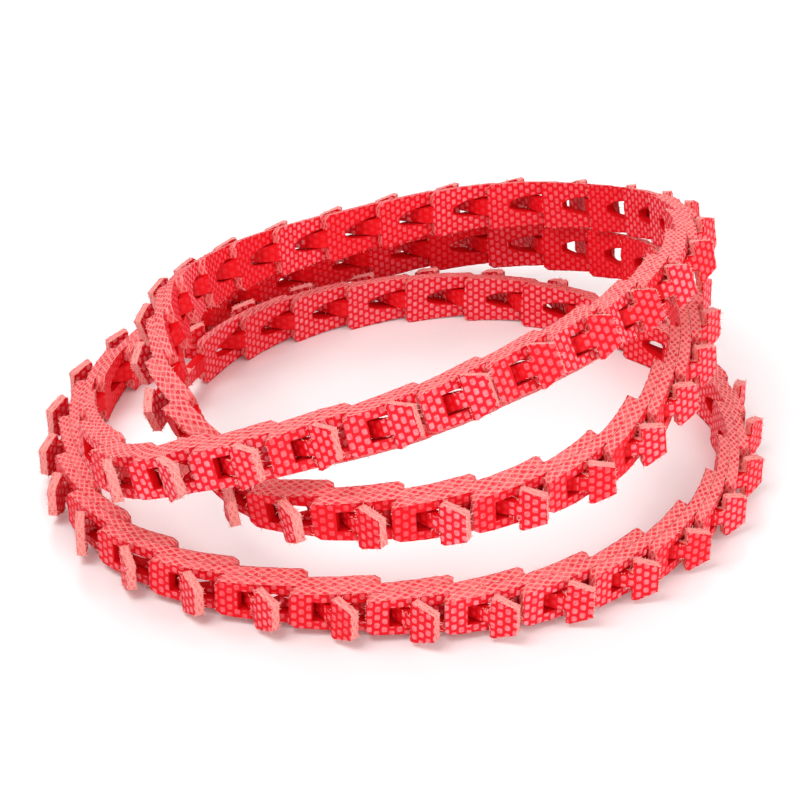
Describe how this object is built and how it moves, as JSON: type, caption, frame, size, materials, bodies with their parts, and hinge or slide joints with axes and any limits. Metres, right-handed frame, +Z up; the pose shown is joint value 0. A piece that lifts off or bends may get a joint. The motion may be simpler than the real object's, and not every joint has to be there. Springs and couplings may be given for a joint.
{
  "type": "link v-belt",
  "caption": "Open length of twist-lock link V-belt laid in loose overlapping turns; flat woven plates with locking tabs that stand outward.",
  "frame": {"origin": "middle of the laid coil's outline, on the surface that it lies on", "axes": "+Z up, out of the surface; -Y towards the front of the coil, where its three strands spread out; the belt runs counter-clockwise seen from above"},
  "size_m": [0.1743, 0.1773, 0.0598],
  "materials": {
    "woven_plate": "bright red polyurethane plate over woven polyester; the weave shows as rows of pale pink dots, and the cut edges are salmon pink with fine wavy plies and a few frayed fibres"
  },
  "bodies": {
    "laid_coil": {"links_01_02": "woven_plate", "links_03_04": "woven_plate", "links_05_06": "woven_plate", "links_07_08": "woven_plate", "links_09_10": "woven_plate", "links_11_12": "woven_plate", "links_13_14": "woven_plate", "links_15_16": "woven_plate", "links_17_18": "woven_plate", "links_19_20": "woven_plate", "links_21_22": "woven_plate", "links_23_24": "woven_plate", "links_25_26": "woven_plate", "links_27_28": "woven_plate", "links_29_30": "woven_plate", "links_31_32": "woven_plate", "links_33_34": "woven_plate", "links_35_36": "woven_plate", "links_37_38": "woven_plate", "links_39_40": "woven_plate", "links_41_42": "woven_plate", "links_43_44": "woven_plate", "links_45_46": "woven_plate", "links_47_48": "woven_plate", "links_49_50": "woven_plate", "links_51_52": "woven_plate", "links_53_54": "woven_plate", "links_55_56": "woven_plate", "links_57_58": "woven_plate", "links_59_60": "woven_plate", "links_61_62": "woven_plate", "links_63_64": "woven_plate", "links_65_66": "woven_plate"},
    "link_67": {"link_67": "woven_plate"},
    "link_68": {"link_68": "woven_plate"},
    "link_69": {"link_69": "woven_plate"},
    "link_70": {"link_70": "woven_plate"},
    "link_71": {"link_71": "woven_plate"},
    "link_72": {"link_72": "woven_plate"},
    "link_73": {"link_73": "woven_plate"},
    "link_74": {"link_74": "woven_plate"},
    "link_75": {"link_75": "woven_plate"},
    "link_76": {"link_76": "woven_plate"},
    "link_77": {"link_77": "woven_plate"},
    "link_78": {"link_78": "woven_plate"},
    "link_79": {"link_79": "woven_plate"},
    "link_80": {"link_80": "woven_plate"}
  },
  "joints": [
    {"name": "bend_at_link_67", "type": "hinge", "parent": "laid_coil", "child": "link_67", "pos_m": [0.06407, -0.04652, 0.00639], "axis": [0, 0, 1], "range_deg": [0, 4]},
    {"name": "bend_at_link_68", "type": "hinge", "parent": "link_67", "child": "link_68", "pos_m": [0.07162, -0.0326, 0.00639], "axis": [0, 0, 1], "range_deg": [0, 4]},
    {"name": "bend_at_link_69", "type": "hinge", "parent": "link_68", "child": "link_69", "pos_m": [0.07584, -0.01729, 0.00639], "axis": [0, 0, 1], "range_deg": [0, 4]},
    {"name": "bend_at_link_70", "type": "hinge", "parent": "link_69", "child": "link_70", "pos_m": [0.07662, -0.00144, 0.00639], "axis": [0, 0, 1], "range_deg": [0, 4]},
    {"name": "bend_at_link_71", "type": "hinge", "parent": "link_70", "child": "link_71", "pos_m": [0.07384, 0.01417, 0.00639], "axis": [0, 0, 1], "range_deg": [0, 4]},
    {"name": "bend_at_link_72", "type": "hinge", "parent": "link_71", "child": "link_72", "pos_m": [0.06758, 0.02871, 0.00639], "axis": [0, 0, 1], "range_deg": [0, 4]},
    {"name": "bend_at_link_73", "type": "hinge", "parent": "link_72", "child": "link_73", "pos_m": [0.0581, 0.0414, 0.00639], "axis": [0, 0, 1], "range_deg": [0, 4]},
    {"name": "bend_at_link_74", "type": "hinge", "parent": "link_73", "child": "link_74", "pos_m": [0.04593, 0.05152, 0.00639], "axis": [0, 0, 1], "range_deg": [0, 4]},
    {"name": "bend_at_link_75", "type": "hinge", "parent": "link_74", "child": "link_75", "pos_m": [0.03175, 0.05848, 0.00639], "axis": [0, 0, 1], "range_deg": [0, 4]},
    {"name": "bend_at_link_76", "type": "hinge", "parent": "link_75", "child": "link_76", "pos_m": [0.01632, 0.06138, 0.00639], "axis": [0, 0, 1], "range_deg": [0, 4]},
    {"name": "bend_at_link_77", "type": "hinge", "parent": "link_76", "child": "link_77", "pos_m": [0.00051, 0.0603, 0.00639], "axis": [0, 0, 1], "range_deg": [0, 4]},
    {"name": "bend_at_link_78", "type": "hinge", "parent": "link_77", "child": "link_78", "pos_m": [-0.01493, 0.05604, 0.00639], "axis": [0, 0, 1], "range_deg": [0, 4]},
    {"name": "bend_at_link_79", "type": "hinge", "parent": "link_78", "child": "link_79", "pos_m": [-0.0292, 0.04903, 0.00639], "axis": [0, 0, 1], "range_deg": [0, 4]},
    {"name": "bend_at_link_80", "type": "hinge", "parent": "link_79", "child": "link_80", "pos_m": [-0.04162, 0.03914, 0.00639], "axis": [0, 0, 1], "range_deg": [0, 4]}
  ]
}
